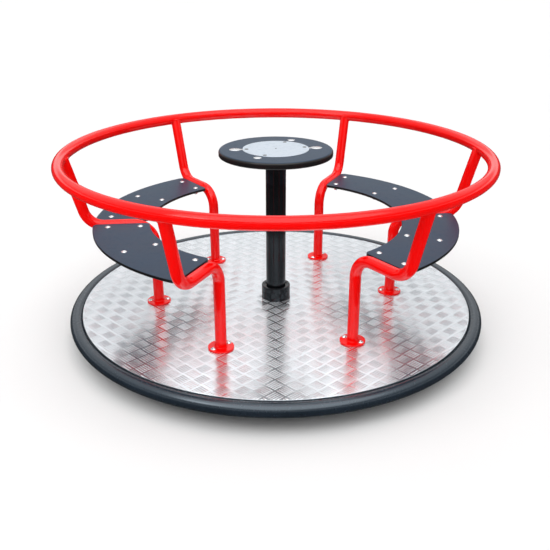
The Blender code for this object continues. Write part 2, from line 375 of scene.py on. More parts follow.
# Shares: a washer's rounded edge of its height, a nut's level face of its flats, and its
# chamfer's height of the step from flat to corner
WASHER_EDGE = 0.3
NUT_FACE = 0.98
NUT_CHAMFER = 0.55


def domed_head(name, centre, floor, radius, height, steps=24):
    """A low domed head with a small upright edge."""
    rise = height - HEAD_LIP
    ball = (radius**2 + rise**2) / (2 * rise)
    reach = math.asin(radius / ball)
    outline = arc((0, floor + height - ball), ball, QUARTER, -reach, HEAD_STEPS)
    outline[0] = (0, floor + height)
    outline += [(radius, floor), (0, floor)]
    return spun(name, outline, steps, centre)


def hexagon_nut(name, centre, floor):
    """A hexagon nut with its corners chamfered above and below."""
    clear_selection()
    top = floor + NUT_HEIGHT
    corner = NUT_ACROSS / math.sqrt(3)
    flat = NUT_ACROSS / 2
    bpy.ops.mesh.primitive_cylinder_add(
        vertices=6, radius=corner, depth=NUT_HEIGHT, location=(*centre, floor + NUT_HEIGHT / 2)
    )
    nut = settle(named(name))
    cut = (corner - flat) * NUT_CHAMFER
    outline = [(0, top), (flat * NUT_FACE, top), (corner, top - cut)]
    outline += [(corner, floor + cut), (flat * NUT_FACE, floor), (0, floor)]
    carve(nut, spun(name + "_lens", outline, 36, centre), "INTERSECT")
    return round_shading(nut, 20)


def washer(name, centre, floor, size):
    """A flat washer with rounded edges."""
    bore, radius, height = size
    outline = edge_ring(bore, radius, floor, floor + height, height * WASHER_EDGE, 2)
    return spun(name, outline, 28, centre)


def washer_and_nut(name, centre, surface):
    """A washer and a nut under a surface."""
    washer_floor = surface - WASHER[-1]
    return [
        washer(name + "_washer", centre, washer_floor, WASHER),
        hexagon_nut(name + "_nut", centre, washer_floor - NUT_HEIGHT),
    ]


# Finishes
class Value:
    """A number on a shader socket: sums and products with it add Math nodes."""

    def __init__(self, nodes, socket):
        self.nodes = nodes
        self.socket = socket

    def maths(self, operation, *sides):
        return self.nodes.node("ShaderNodeMath", {"operation": operation}, dict(enumerate(sides)))

    def __add__(self, other):
        return self.maths("ADD", self, other)

    def __sub__(self, other):
        return self.maths("SUBTRACT", self, other)

    def __rsub__(self, other):
        return self.maths("SUBTRACT", other, self)

    def __mul__(self, other):
        return self.maths("MULTIPLY", self, other)

    __radd__ = __add__
    __rmul__ = __mul__

    def above(self, low, high):
        """0 under low, 1 over high and smooth between them."""
        return self.nodes.node(
            "ShaderNodeMapRange",
            {"interpolation_type": "SMOOTHSTEP"},
            {"Value": self, "From Min": low, "From Max": high},
        )


def socket_name(words):
    """A socket's name from a keyword: Specular IOR Level from specular_ior_level."""
    return words.replace("_", " ").title().replace("Ior", "IOR")


class Nodes:
    """A tree of shader nodes."""

    def __init__(self, tree):
        self.tree = tree

    def node(self, kind, settings, inputs, output=0):
        """Adds a node, sets it up, then gives its sockets their values or links."""
        node = self.tree.nodes.new(kind)
        for word, setting in settings.items():
            setattr(node, word, setting)
        for socket, value in inputs.items():
            self.feed(node.inputs[socket], value)
        return Value(self, node.outputs[output])

    def feed(self, socket, value):
        if isinstance(value, Value):
            self.tree.links.new(value.socket, socket)
        else:
            socket.default_value = value

    def along(self, vector, direction):
        """How far a vector reaches along a direction."""
        sides = {0: vector, 1: direction}
        return self.node("ShaderNodeVectorMath", {"operation": "DOT_PRODUCT"}, sides, "Value")


class Finish(Nodes):
    """One finish: a Principled surface and the nodes that vary it."""

    def __init__(self, name, **constants):
        self.material = bpy.data.materials.new(name)
        self.material.use_nodes = True
        super().__init__(self.material.node_tree)
        self.surface = self.tree.nodes["Principled BSDF"]
        for words, value in constants.items():
            self.surface.inputs[socket_name(words)].default_value = value
        self.place = self.node("ShaderNodeTexCoord", {}, {}, "Object")

    def speckle(self, scale, detail=2.0, rough=0.5, place=None):
        """Soft noise from 0 to 1, with scale in patches a metre."""
        where = place or self.place
        inputs = {"Vector": where, "Scale": scale, "Detail": detail, "Roughness": rough}
        return self.node("ShaderNodeTexNoise", {}, inputs)

    def streaks(self, scale, detail, rough, turn=0.0):
        """Noise drawn out along one way, for brushed, rolled or sawn marks."""
        inputs = {"Vector": self.place, "Rotation": (0, 0, turn), "Scale": scale}
        return self.speckle(1.0, detail, rough, self.node("ShaderNodeMapping", {}, inputs))

    def height(self):
        return self.node("ShaderNodeSeparateXYZ", {}, {"Vector": self.place}, "Z")

    def blend(self, share, first, second):
        """From the first colour to the second by share: a Mix node's colour sockets."""
        return self.node(
            "ShaderNodeMix",
            {"data_type": "RGBA", "blend_type": "MIX"},
            {0: share, 6: (*first, 1), 7: (*second, 1)},
            2,
        )

    def show(self, **sockets):
        """Links the varying values to the surface."""
        for words, value in sockets.items():
            self.feed(self.surface.inputs[socket_name(words)], value)

    def relief(self, height, depth):
        """A fine relief, its height from 0 to 1 standing for depth in metres."""
        inputs = {"Height": height, "Distance": depth, "Strength": 1.0}
        self.feed(self.surface.inputs["Normal"], self.node("ShaderNodeBump", {}, inputs))


def powder_coat(name, colour, shade, roughness, shine, peel, tint=(1, 1, 1)):
    """Sprayed and baked paint: fine orange peel, and slow changes of gloss and colour."""
    finish = Finish(name, ior=1.5, specular_ior_level=shine, specular_tint=(*tint, 1))
    patches = finish.speckle(7.0, 3.0)
    dust = finish.speckle(95.0, 4.0, 0.7)
    finish.show(
        base_color=finish.blend(patches.above(0.3, 0.7), colour, shade),
        roughness=roughness + patches * 0.04 + dust.above(0.55, 0.8) * 0.05,
    )
    finish.relief(finish.speckle(520.0, 2.0), peel)
    return finish.material


def seat_board(name, colour, shade, roughness):
    """Compact laminate board with a fine hammered face."""
    finish = Finish(name, ior=1.36)
    cloud = finish.speckle(9.0, 4.0, 0.6)
    grain = finish.speckle(900.0, 2.0, 0.6)
    scuffs = finish.speckle(60.0, 5.0, 0.75)
    tone = cloud * 0.6 + grain * 0.4
    finish.show(
        base_color=finish.blend(tone.above(0.35, 0.65), colour, shade),
        roughness=roughness + cloud * 0.10 + scuffs.above(0.5, 0.75) * 0.08,
    )
    finish.relief(grain, 0.00006)
    return finish.material


def board_edge():
    """The black core that shows at the edge of a board, with saw marks along it."""
    finish = Finish("board_black_edge", ior=1.42)
    saw = finish.streaks((60.0, 60.0, 900.0), 3.0, 0.6)
    finish.show(
        base_color=finish.blend(saw, (0.003, 0.003, 0.0035), (0.009, 0.009, 0.010)),
        roughness=0.26 + saw * 0.16,
    )
    finish.relief(saw, 0.00005)
    return finish.material


def bright_aluminium(name, colour, shade, roughness, waves):
    """Rolled bright aluminium: faint clouds, fine scratches and worn tops of the bars."""
    finish = Finish(name, metallic=0.95)
    clouds = finish.speckle(5.0, 4.0, 0.6)
    rolled_marks = finish.streaks((14.0, 260.0, 14.0), 3.0, 0.6, TREAD_TURN)
    worn = finish.height().above(DECK_TOP + TREAD_BAR_HEIGHT * 0.45, DECK_TOP + TREAD_BAR_HEIGHT)
    grit = finish.speckle(160.0, 4.0, 0.7)
    finish.show(
        base_color=finish.blend(clouds * 0.5 + rolled_marks * 0.5, colour, shade),
        roughness=roughness + clouds * 0.10 + grit.above(0.5, 0.8) * 0.10 - worn * 0.06,
    )
    finish.relief(clouds * 0.5 + rolled_marks * 0.2 + finish.speckle(38.0) * 0.3, waves)
    return finish.material


def brushed_plate():
    """The satin plate in the middle of the table, scratched by use."""
    finish = Finish("table_plate_aluminium", metallic=1.0)
    brushed = finish.streaks((18.0, 900.0, 18.0), 3.0, 0.65, 0.4)
    stains = finish.speckle(48.0, 5.0, 0.7)
    scratches = finish.streaks((30.0, 420.0, 30.0), 4.0, 0.8, -0.9)
    mark = stains.above(0.48, 0.70)
    finish.show(
        base_color=finish.blend(mark, (0.69, 0.76, 0.84), (0.61, 0.68, 0.76)),
        roughness=0.34 + mark * 0.14 + brushed * 0.08,
    )
    finish.relief(brushed * 0.7 + scratches.above(0.62, 0.72) * 0.3, 0.00012)
    return finish.material


def plated_steel(name, colour, shade, roughness):
    """Zinc-plated fixings, and plain dark ones, with fine turning marks."""
    finish = Finish(name, metallic=1.0)
    cloud = finish.speckle(140.0, 3.0, 0.6)
    finish.show(
        base_color=finish.blend(cloud, colour, shade),
        roughness=roughness + cloud * 0.12,
    )
    finish.relief(finish.speckle(1400.0, 2.0), 0.00003)
    return finish.material


def hot_dip_zinc():
    """Dull hot-dip zinc: crystals of slightly different grey, and a few white stains."""
    finish = Finish("hot_dip_zinc", metallic=1.0)
    crystals = finish.node(
        "ShaderNodeTexVoronoi", {"feature": "F1"}, {"Vector": finish.place, "Scale": 85.0}, "Color"
    )
    tone = finish.node("ShaderNodeSeparateColor", {}, {"Color": crystals})
    cloud = finish.speckle(8.0, 4.0, 0.6)
    finish.show(
        base_color=finish.blend(tone * 0.6 + cloud * 0.4, (0.34, 0.35, 0.36), (0.60, 0.61, 0.63)),
        roughness=0.42 + tone * 0.16,
        metallic=1 - cloud.above(0.62, 0.78) * 0.35,
    )
    finish.relief(tone, 0.00004)
    return finish.material


def machined_bronze():
    """Bronze with the fine rings of a lathe."""
    finish = Finish("machined_bronze", metallic=1.0)
    turned_marks = finish.streaks((20.0, 20.0, 1500.0), 3.0, 0.6)
    finish.show(
        base_color=finish.blend(turned_marks, (0.36, 0.21, 0.09), (0.62, 0.40, 0.18)),
        roughness=0.30 + turned_marks * 0.2,
    )
    finish.relief(turned_marks, 0.00004)
    return finish.material


RED = powder_coat(
    "red_powder_coat", (0.90, 0.0006, 0.0003), (0.95, 0.0014, 0.0008),
    roughness=0.08, shine=0.34, peel=0.00002,
)
ANTHRACITE = powder_coat(
    "anthracite_powder_coat", (0.006, 0.012, 0.020), (0.009, 0.016, 0.026),
    roughness=0.24, shine=0.95, peel=0.00002, tint=(0.80, 0.91, 1.0),
)
BLACK = powder_coat(
    "black_powder_coat", (0.003, 0.0033, 0.004), (0.005, 0.0055, 0.0065),
    roughness=0.12, shine=0.45, peel=0.00001, tint=(0.82, 0.92, 1.0),
)
BOARD = seat_board(
    "anthracite_board", (0.007, 0.026, 0.056), (0.010, 0.033, 0.068), roughness=0.36
)
BOARD_EDGE = board_edge()
TREAD = bright_aluminium(
    "tread_aluminium", (0.77, 0.81, 0.85), (0.85, 0.89, 0.93), roughness=0.16, waves=0.00012
)
TREAD_RIDGE = bright_aluminium(
    "tread_bar_aluminium", (0.75, 0.785, 0.82), (0.84, 0.875, 0.91), roughness=0.26, waves=0.00008
)
TABLE_METAL = brushed_plate()
BOLT_METAL = plated_steel(
    "bright_zinc", (0.70, 0.71, 0.73), (0.88, 0.89, 0.90), roughness=0.16
)
DARK_METAL = plated_steel(
    "darkened_steel", (0.05, 0.05, 0.052), (0.20, 0.19, 0.18), roughness=0.38
)
ZINC = hot_dip_zinc()
BRONZE = machined_bronze()


def dress(piece, material, body, slot, *nodes):
    """Gives a piece its finish and its body, and hides the nodes that it stands for. The slot is
    not used.
    """
    piece.data.materials.clear()
    piece.data.materials.append(material)
    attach(piece, body)
    if nodes:
        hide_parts(*nodes)


def blacken(board, test):
    """Gives the faces of a board that pass the test the black of its core."""
    board.data.materials.append(BOARD_EDGE)
    for face in board.data.polygons:
        if test(face):
            face.material_index = 1


# Deck and rim
DECK_TO_COLLAR = 0.0003
DECK_EDGE = 0.0008
TREAD_TO_DECK_EDGE = 0.0015
TREAD_TO_COLLAR = 0.0010
TREAD_CUT_REACH = 0.004
TREAD_CUT_EDGE = 0.0001
LEDGE_INNER = 0.700
LEDGE_EDGE = 0.0006


def make_deck():
    """The plate and the raised bars on it."""
    inner = HOUSING_RADIUS + DECK_TO_COLLAR
    outline = edge_ring(inner, DECK_RADIUS, DECK_UNDERSIDE, DECK_TOP, DECK_EDGE)
    plate = spun("tread_plate", outline, FINE)
    dress(plate, TREAD, "turntable", "tread_aluminium", "deck_plate")
    dress(tread_bars(), TREAD_RIDGE, "turntable", "tread_aluminium")


def tread_bar(length):
    """One raised bar, a low ridge with round ends, lying along X with its foot in the plate."""
    clear_selection()
    bpy.ops.mesh.primitive_circle_add(
        vertices=TREAD_BAR_SIDES, radius=TREAD_BAR_WIDTH / 2, fill_type="NGON",
        location=(0, 0, DECK_TOP - TREAD_BAR_SINK), rotation=(0, 0, math.pi / TREAD_BAR_SIDES),
    )
    bar = settle(named("tread_bars"))
    stretch = (length - TREAD_BAR_WIDTH) / 2
    for side in (1, -1):
        pick(bar, "VERT", lambda point, side=side: point.x * side > 0)
        bpy.ops.transform.translate(value=(stretch * side, 0, 0))
    pick(bar, "FACE", lambda normal: True)
    rise = {"value": (0, 0, TREAD_BAR_HEIGHT + TREAD_BAR_SINK)}
    bpy.ops.mesh.extrude_region_move(TRANSFORM_OT_translate=rise)
    bpy.ops.transform.resize(value=TREAD_BAR_TAPER)
    return close_up(bar)


def tread_bars():
    """All raised bars of the deck: cells of five, turned crosswise from one cell to the next."""
    cell = TREAD_PITCH - TREAD_LANE
    bar = tread_bar(cell)
    spacing = (cell - TREAD_BAR_WIDTH) / (TREAD_BARS - 1)
    bar.location.y = -spacing * (TREAD_BARS - 1) / 2
    settle(bar)
    repeat(bar, TREAD_BARS, (0, spacing, 0))
    block = [bar]
    for across, up, turn in ((1, 0, QUARTER), (0, 1, QUARTER), (1, 1, 0)):
        shift = (across * TREAD_PITCH, up * TREAD_PITCH, 0)
        block.append(copy_of(bar, "tread_cell", turn, shift))
    bars = merged("tread_bars", block)
    pairs = math.ceil(DECK_RADIUS / TREAD_PITCH) + 1
    repeat(bars, pairs, (2 * TREAD_PITCH, 0, 0))
    repeat(bars, pairs, (0, 2 * TREAD_PITCH, 0))
    corner = Vector((-pairs * TREAD_PITCH, -pairs * TREAD_PITCH, 0))
    bars.location = Matrix.Rotation(TREAD_TURN, 3, "Z") @ corner
    bars.rotation_euler.z = TREAD_TURN
    settle(bars)
    return trimmed(bars)


def trimmed(bars):
    """Bars off the plate are dropped, and those across its edges are cut there."""
    outer = DECK_RADIUS - TREAD_TO_DECK_EDGE
    inner = HOUSING_RADIUS + TREAD_TO_COLLAR

    def on_plate(point):
        return inner < math.hypot(point.x, point.y) < outer

    pick(bars, "VERT", on_plate)
    bpy.ops.mesh.select_linked()
    bpy.ops.mesh.select_all(action="INVERT")
    bpy.ops.mesh.delete(type="VERT")
    pick(bars, "VERT", lambda point: not on_plate(point))
    bpy.ops.mesh.select_linked()
    bpy.ops.mesh.separate(type="SELECTED")
    bpy.ops.object.mode_set(mode="OBJECT")
    crossing = next(thing for thing in bpy.context.selected_objects if thing != bars)
    low, high = DECK_TOP - TREAD_CUT_REACH, DECK_TOP + TREAD_CUT_REACH
    outline = edge_ring(inner, outer, low, high, TREAD_CUT_EDGE, 1)
    carve(crossing, spun("tread_edge", outline, FINE), "INTERSECT")
    return round_shading(merged("tread_bars", [bars, crossing]), 70)


def make_rim():
    """The tube round the deck and the ledge inside it that carries the plate's edge."""
    tube = rolled("rim_tube", RIM_RADIUS, RIM_TUBE, RIM_HEIGHT)
    dress(tube, ANTHRACITE, "turntable", "anthracite_powder_coat", "rim")
    low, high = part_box("deck_ledge")
    ledge = spun("rim_ledge", edge_ring(LEDGE_INNER, high.x, low.z, high.z, LEDGE_EDGE, 2), FINE)
    dress(ledge, ANTHRACITE, "turntable", "anthracite_powder_coat", "deck_ledge")


# Posts and hand rail

# Each post stands a sixth of a turn after the one before. The number is how far the bolts of
# its flange are turned, in degrees.
POSTS = {
    "right": -5,
    "back_right": -17,
    "back_left": 55,
    "left": 6,
    "front_left": -24,
    "front_right": 18,
}

# The bends of a post, as the frame has them
POST_RUN = DECK_TOP + 0.3225
POST_BEND_RADIUS = 0.075
POST_BEND_STEPS = 14
POST_LEAN = math.radians(15)
POST_AIM_INSIDE = 0.006
POST_END_BELOW = 0.003

# The thickness of each weld. The line of the one under the rail is found by halving the last
# stretch of the post, and the one at the foot lies off the tube and the flange.
WELD_POINTS = 64
RAIL_WELD = 0.0022
RAIL_WELD_SEARCH = 0.06
RAIL_WELD_HALVINGS = 24
FOOT_WELD = 0.0026
FOOT_WELD_OUT = 0.0008
FOOT_WELD_UP = 0.0006

FLANGE_TOP_ROUND = 0.0014
FLANGE_UNDER_ROUND = 0.0010
FLANGE_BOLT_REACH = 0.0330
FLANGE_BOLT_HEAD = 0.0085
FLANGE_WASHER = (0.004, 0.0098, 0.0012)


def bend(centre_x, centre_z, angle):
    """Turns the open end of the tube about a level axis, outwards where the angle is positive."""
    centre = (centre_x, 0, centre_z)
    bpy.ops.mesh.spin(steps=POST_BEND_STEPS, angle=-angle, center=centre, axis=(0, 1, 0))


def straight(length, lean):
    """Draws the open end of the tube out, leaning from upright."""
    step = (length * math.sin(lean), 0, length * math.cos(lean))
    bpy.ops.mesh.extrude_region_move(TRANSFORM_OT_translate={"value": step})


def make_post(rail):
    """The post at the right: leg, level run beside the seats, and the stretch up to the rail."""
    rise = RAIL_HEIGHT - POST_RUN
    corner = RAIL_RADIUS - POST_AIM_INSIDE - rise * math.tan(POST_LEAN)
    second_bend = QUARTER - POST_LEAN
    trim = POST_BEND_RADIUS * math.tan(second_bend / 2)
    run_start = POST_FOOT_RADIUS + POST_BEND_RADIUS
    clear_selection()
    bpy.ops.mesh.primitive_circle_add(
        vertices=TUBE_SIDES, radius=POST_TUBE, fill_type="NOTHING",
        location=(POST_FOOT_RADIUS, 0, POST_FOOT),
    )
    post = settle(named("post_tube_right"))
    pick(post, "EDGE", lambda first, second: True)
    straight(POST_RUN - POST_BEND_RADIUS - POST_FOOT, 0)
    bend(run_start, POST_RUN - POST_BEND_RADIUS, QUARTER)
    straight(corner - trim - run_start, QUARTER)
    bend(corner - trim, POST_RUN + POST_BEND_RADIUS, -second_bend)
    straight((rise - POST_END_BELOW) / math.cos(POST_LEAN) - trim, POST_LEAN)
    bpy.ops.mesh.edge_face_add()
    pick(post, "EDGE", lambda first, second: max(first.z, second.z) < POST_FOOT + MERGE)
    bpy.ops.mesh.edge_face_add()
    close_up(post)
    return round_shading(carve(post, rail, keep_tool=True))


def rail_weld_line():
    """Where the outside of a post meets the hand rail, point by point round the post."""
    along = Vector((math.sin(POST_LEAN), 0, math.cos(POST_LEAN)))
    outwards = Vector((math.cos(POST_LEAN), 0, -math.sin(POST_LEAN)))
    aim = Vector((RAIL_RADIUS - POST_AIM_INSIDE, 0, RAIL_HEIGHT))

    def in_rail(point):
        off_ring = math.hypot(point.x, point.y) - RAIL_RADIUS
        return math.hypot(off_ring, point.z - RAIL_HEIGHT) < RAIL_TUBE

    line = []
    for step in range(WELD_POINTS):
        turn = math.tau * step / WELD_POINTS
        side = outwards * math.cos(turn) + Vector((0, 1, 0)) * math.sin(turn)
        start = aim + side * POST_TUBE
        low, high = -RAIL_WELD_SEARCH, -POST_END_BELOW / math.cos(POST_LEAN)
        for _ in range(RAIL_WELD_HALVINGS):
            middle = (low + high) / 2
            if in_rail(start + along * middle):
                high = middle
            else:
                low = middle
        line.append(start + along * low)
    return line


def post_welds():
    """The beads at the foot of the right post and under the hand rail."""
    height = FLANGE_HIGH.z + FOOT_WELD_UP
    foot_line = level_circle(POST_FOOT_RADIUS, POST_TUBE + FOOT_WELD_OUT, height, WELD_POINTS)
    foot_weld = bead("weld_foot", foot_line, FOOT_WELD)
    return merged("post_welds_right", [foot_weld, bead("weld_rail", rail_weld_line(), RAIL_WELD)])


def foot_flange():
    """The round flange under the right post."""
    rounds = (FLANGE_TOP_ROUND, FLANGE_UNDER_ROUND)
    outline = round_disc(FLANGE_RADIUS, FLANGE_LOW.z, FLANGE_HIGH.z, *rounds)
    return spun("flange_right", outline, SMOOTH, (POST_FOOT_RADIUS, 0))


def flange_fixings():
    """The two bolts of a foot flange, with their washers, about the axis."""
    washer_floor = FLANGE_HIGH.z - 2 * SINK
    head_floor = washer_floor + FLANGE_WASHER[-1] - SINK
    parts = []
    for side in (-1, 1):
        centre = (side * FLANGE_BOLT_REACH, 0)
        parts.append(washer("flange_washer", centre, washer_floor, FLANGE_WASHER))
        parts.append(
            domed_head("flange_bolt", centre, head_floor, FLANGE_BOLT_HEAD, HEAD_HEIGHT, 20)
        )
    return merged("flange_bolts_right", parts)


def place_fixings(bolts, post_turn, own_turn):
    """Turns a flange's bolts about their own middle and puts them at the foot of their post."""
    bolts.rotation_euler.z = own_turn
    bolts.location = (*around(POST_FOOT_RADIUS, post_turn), 0)
    settle(bolts)


def make_posts():
    """The post at the right is the pattern for the others, so it is finished last."""
    rail = rolled("hand_rail", RAIL_RADIUS, RAIL_TUBE, RAIL_HEIGHT)
    patterns = (make_post(rail), post_welds(), foot_flange(), flange_fixings())
    for number, (side, bolt_turn) in reversed(tuple(enumerate(POSTS.items()))):
        turn = number * SIXTH
        pieces = patterns
        if number:
            pieces = [copy_of(piece, piece.name.replace("right", side), turn) for piece in patterns]
        tube, welds, foot, bolts = pieces
        place_fixings(bolts, turn, math.radians(bolt_turn))
        dress(tube, RED, "turntable", "red_powder_coat", "post_" + side)
        dress(welds, RED, "turntable", "red_powder_coat")
        dress(foot, RED, "turntable", "red_powder_coat", "foot_flange_" + side)
        dress(bolts, BOLT_METAL, "turntable", "galvanised_steel")
    dress(rail, RED, "turntable", "red_powder_coat", "handrail")


# Seats

# Each seat lies between a post, given by its number, and the next one.
SEATS = {"right_back": 0, "left_back": 2, "left_front": 3, "right_front": 5}
SEAT_INNER = 0.475
SEAT_INNER_STEPS = 22
SEAT_OUTER = 0.682
SEAT_OUTER_STEPS = 28
SEAT_TO_POST = 0.0242
SEAT_CORNER = 0.018
SEAT_CORNER_STEPS = 8
SEAT_EDGE = 0.0012
SEAT_BOLT_RADII = (0.510, 0.627)
SEAT_BOLT_TO_POST = 0.060
SEAT_BOLT_HEAD = 0.0102

# A bolt's end under its nut: how far below the bar it reaches and starts, and its rounds
BOLT_END_RADIUS = 0.0040
BOLT_END_DROPS = (0.0110, 0.0078)
BOLT_END_ROUNDS = (0.0004, 0.0008)


def seat_outline():
    """A board's outline: two arcs about the axis, straight ends by the posts, round corners."""
    half = SIXTH / 2
    to_end = SEAT_TO_POST + SEAT_CORNER

    def corner(reach):
        along = math.sqrt(reach**2 - to_end**2)
        x = along * math.cos(half) + to_end * math.sin(half)
        y = along * math.sin(half) - to_end * math.cos(half)
        return x, y

    outer = corner(SEAT_OUTER - SEAT_CORNER)
    inner = corner(SEAT_INNER + SEAT_CORNER)
    outer_turn = math.atan2(outer[1], outer[0])
    inner_turn = math.atan2(inner[1], inner[0])
    end_turn = half + QUARTER
    to_inner = inner_turn + math.pi - end_turn
    upper = arc((0, 0), SEAT_OUTER, 0, outer_turn, SEAT_OUTER_STEPS)
    upper += arc(outer, SEAT_CORNER, outer_turn, end_turn - outer_turn, SEAT_CORNER_STEPS)[1:]
    upper += arc(inner, SEAT_CORNER, end_turn, to_inner, SEAT_CORNER_STEPS)
    upper += arc((0, 0), SEAT_INNER, inner_turn, -inner_turn, SEAT_INNER_STEPS)[1:]
    return upper + [(x, -y) for x, y in reversed(upper[1:-1])] + upper[:1]


def make_seat():
    """A board that follows the deck's curve, its middle on +X and its ends beside the posts."""
    seat = drawn("seat_board", seat_outline())
    bpy.ops.mesh.select_all(action="SELECT")
    bpy.ops.mesh.remove_doubles(threshold=MERGE)
    bpy.ops.mesh.select_all(action="SELECT")
    bpy.ops.mesh.edge_face_add()
    bpy.ops.object.mode_set(mode="OBJECT")
    seat.rotation_euler.x = -QUARTER
    seat.location.z = SEAT_FLOOR
    settle(seat)
    pick(seat, "FACE", lambda normal: True)
    lift = {"value": (0, 0, SEAT_TOP - SEAT_FLOOR)}
    bpy.ops.mesh.extrude_region_move(TRANSFORM_OT_translate=lift)
    close_up(seat)
    pick(seat, "EDGE", lambda first, second: abs(first.z - second.z) < MERGE)
    bpy.ops.mesh.bevel(offset=SEAT_EDGE, segments=3, affect="EDGES")
    close_up(seat)
    pick(seat, "FACE", lambda normal: abs(normal.z) > LEVEL)
    bpy.ops.mesh.inset(thickness=HOLD_BACK, use_even_offset=True)
    close_up(seat)
    return round_shading(seat, 40)


def bolt_end(centre):
    """The end of a seat bolt under its nut."""
    low, high = (SEAT_BAR_FLOOR - drop for drop in BOLT_END_DROPS)
    outline = round_disc(BOLT_END_RADIUS, low, high, *BOLT_END_ROUNDS, 2)
    return spun("seat_bolt_end", outline, 20, centre)


def seat_fixings():
    """Six domed bolts through a board and its two bars, with washers and nuts below."""
    parts = []
    for radius in SEAT_BOLT_RADII:
        end = SIXTH / 2 - math.asin(SEAT_BOLT_TO_POST / radius)
        for turn in (-end, 0, end):
            centre = around(radius, turn)
            head_floor = SEAT_TOP - SINK
            parts.append(domed_head("seat_bolt", centre, head_floor, SEAT_BOLT_HEAD, HEAD_HEIGHT))
            parts += washer_and_nut("seat", centre, SEAT_BAR_FLOOR)
            parts.append(bolt_end(centre))
    return merged("seat_bolts", parts)


def make_seats():
    board = make_seat()
    fixings = seat_fixings()
    for name, first_post in SEATS.items():
        turn = (first_post + 0.5) * SIXTH
        seat = copy_of(board, "seat_board_" + name, turn)
        bolts = copy_of(fixings, "seat_bolts_" + name, turn)
        dress(seat, BOARD, "turntable", "anthracite_board", "seat_" + name)
        blacken(seat, lambda face: abs(face.normal.z) < SIDE)
        dress(bolts, BOLT_METAL, "turntable", "galvanised_steel")
    for pattern in (board, fixings):
        bpy.data.objects.remove(pattern, do_unlink=True)


# Collar and column

# The collar's upper edge is a chamfer with a middle point, so far in and so far down.
COLLAR_BORE = 0.044
COLLAR_BORE_EDGE = 0.0012
COLLAR_EDGE = 0.0028
COLLAR_EDGE_MIDDLE = (0.0010, 0.0008)
SEAL_BORE = 0.0387
SEAL_DEPTH = 0.0030
SEAL_THICKNESS = 0.0022
COLUMN_EDGE = 0.0005
COLUMN_WELD = 0.0030
COLUMN_WELD_OUT = 0.001
COLUMN_WELD_DOWN = 0.0008
SUPPORT_EDGE = 0.0008


def make_collar():
    """The bearing housing, chamfered at its top, with a seal over the bearing round the column."""
    seal_top = HOUSING_TOP - SEAL_DEPTH
    seal_floor = seal_top - SEAL_THICKNESS
    across, down = COLLAR_EDGE_MIDDLE
    outline = [
        (COLLAR_BORE, HOUSING_FLOOR),
        (COLLAR_BORE, seal_floor),
        (SEAL_BORE, seal_floor),
        (SEAL_BORE, seal_top),
        (COLLAR_BORE, seal_top),
        (COLLAR_BORE, HOUSING_TOP - COLLAR_BORE_EDGE),
        (COLLAR_BORE + COLLAR_BORE_EDGE, HOUSING_TOP),
        (HOUSING_RADIUS - COLLAR_EDGE, HOUSING_TOP),
        (HOUSING_RADIUS - across, HOUSING_TOP - down),
        (HOUSING_RADIUS, HOUSING_TOP - COLLAR_EDGE),
        (HOUSING_RADIUS, HOUSING_FLOOR),
        (COLLAR_BORE, HOUSING_FLOOR),
    ]
    collar = spun("collar", outline, SMOOTH)
    dress(collar, BLACK, "turntable", "black_powder_coat", "bearing_housing")


def make_column():
    """The column, its weld under the table, and the flange that carries the table."""
    outline = round_disc(COLUMN_RADIUS, COLUMN_FOOT, COLUMN_TOP, COLUMN_EDGE, COLUMN_EDGE, 2)
    column = spun("column_tube", outline, SMOOTH)
    weld_height = TABLE_SUPPORT_FLOOR - COLUMN_WELD_DOWN
    weld_line = level_circle(0, COLUMN_RADIUS + COLUMN_WELD_OUT, weld_height, SMOOTH)
    piece = merged("column_tube", [column, bead("column_weld", weld_line, COLUMN_WELD)])
    dress(piece, BLACK, "base", "black_powder_coat", "column")
    low, high = TABLE_SUPPORT_FLOOR, TABLE_SUPPORT_TOP
    outline = round_disc(TABLE_SUPPORT_RADIUS, low, high, SUPPORT_EDGE, SUPPORT_EDGE)
    support = spun("table_support", outline, SMOOTH)
    dress(support, BLACK, "base", "black_powder_coat", "table_flange")


# Table

# Below TABLE_FACE_DEPTH the rounded edge shows the board's black core.
TABLE_TOP_ROUND = 0.009
TABLE_UNDER_ROUND = 0.005
TABLE_FACE_DEPTH = 0.0016
TABLE_RECESS_GAP = 0.0006
TABLE_RECESS_DROP = 0.0003
TABLE_RECESS_EDGE = 0.0004
TABLE_PLATE_ROUNDS = (0.0006, 0.0002)

# The direction of each bolt in degrees and the radius of its head, and the screws' directions
TABLE_BOLTS = {0: 0.0215, 61: 0.0145, 180: 0.0215, 239: 0.0145}
TABLE_BOLT_REACH = 0.150
TABLE_BOLT_HEIGHT = 0.0030
TABLE_SCREWS = (6, 66, 180, 243)
TABLE_SCREW_REACH = 0.108

# A countersunk screw from its middle outwards: distance and height over the plate
SCREW_OUTLINE = (
    (0, 0.0006), (0.0026, 0.0006), (0.0034, 0.0001), (0.0042, 0.0001),
    (0.0058, 0.0005), (0.0074, 0.0002), (0.0076, -0.0002), (0, -0.0002),
)
MIDDLE_SCREW_HEAD = 0.0028
MIDDLE_SCREW_HEIGHT = 0.0014

TONGUE_START = TABLE_PLATE_RADIUS - 0.002
TONGUE_END = TABLE_BOLT_REACH - 0.010
TONGUE_WIDTH = 0.014
TONGUE_THICKNESS = 0.0010
TONGUE_EDGE = 0.0003


